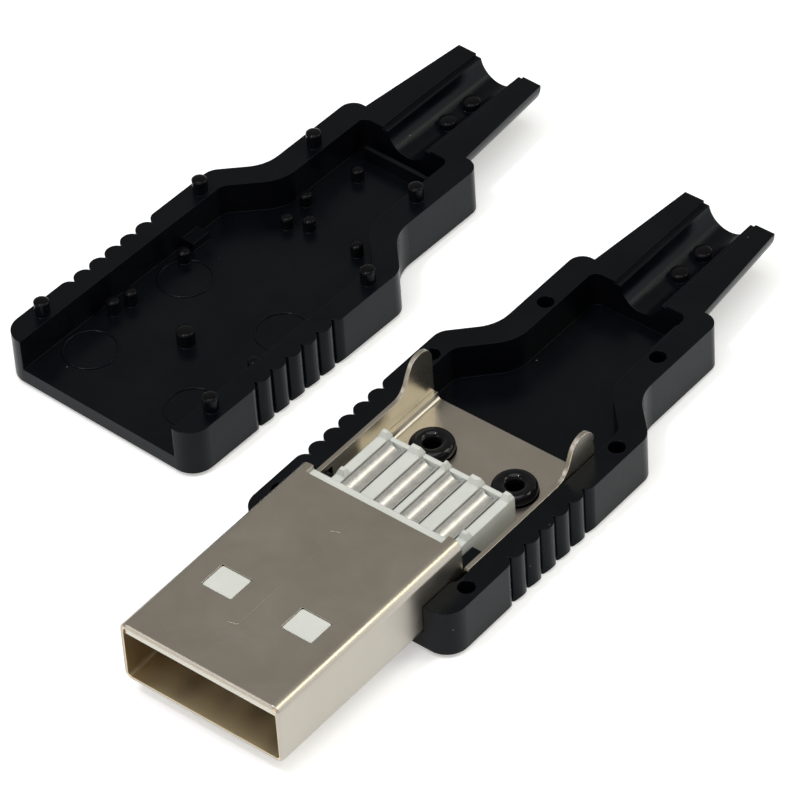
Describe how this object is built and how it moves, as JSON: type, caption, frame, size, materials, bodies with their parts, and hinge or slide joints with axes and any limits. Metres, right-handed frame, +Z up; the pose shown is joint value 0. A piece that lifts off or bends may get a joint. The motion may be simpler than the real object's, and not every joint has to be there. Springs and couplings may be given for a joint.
{
  "type": "usb-a plug",
  "caption": "Type A plug for wiring by hand: metal shell with tongue and solder troughs, seated in the lower half of its moulded housing, the cover half lying open beside it.",
  "frame": {"origin": "centre of the shell's mating face, in the plane where the two housing halves part", "axes": "+Y from the mouth towards the cord end, +Z up and away from the surface the part lies on, +X to the right when looking into the cord end from the mouth"},
  "size_m": [0.038, 0.0545, 0.0059],
  "materials": {
    "housing": "semi-gloss black moulding",
    "plated_steel": "bright nickel plate on folded sheet",
    "insulator": "satin white moulding",
    "contacts": "tin plated strip"
  },
  "bodies": {
    "root": {"lower_housing": "housing", "cover": "housing", "plug_shell": "plated_steel", "rear_bracket": "plated_steel", "insulator": "insulator", "contact_1": "contacts", "contact_2": "contacts", "contact_3": "contacts", "contact_4": "contacts"}
  },
  "joints": []
}
